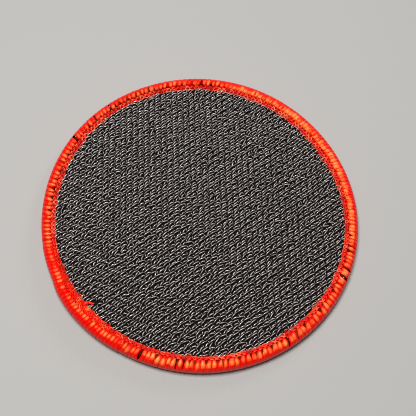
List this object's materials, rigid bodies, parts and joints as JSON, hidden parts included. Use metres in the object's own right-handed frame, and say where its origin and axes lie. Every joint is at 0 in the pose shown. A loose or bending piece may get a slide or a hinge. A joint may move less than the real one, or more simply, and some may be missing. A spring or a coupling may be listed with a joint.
{
  "type": "round hook-and-loop patch",
  "caption": "Round cloth patch with a plain woven front, a field of fastening hooks on its back and a wrapped thread border.",
  "frame": {"origin": "middle of the patch, on the surface that its border stands on with the hook side up", "axes": "+Z out of the hook side, along the patch's thickness; +X and +Y in its plane, the rows of hooks 42.75 degrees from +X towards +Y, the border's lap between 200 and 249 degrees round from +X"},
  "size_m": [0.076, 0.076, 0.004],
  "materials": {
    "face_twill": "matt woven twill",
    "tape_weave": "matt woven nylon",
    "nylon_hooks": "glossy nylon monofilament",
    "border_thread": "satin polyester thread"
  },
  "bodies": {
    "root": {"face_fabric": "face_twill", "hook_tape": "tape_weave", "hook_rows": "nylon_hooks", "merrow_border": "border_thread", "border_lap": "border_thread", "thread_tail": "border_thread"}
  },
  "joints": []
}
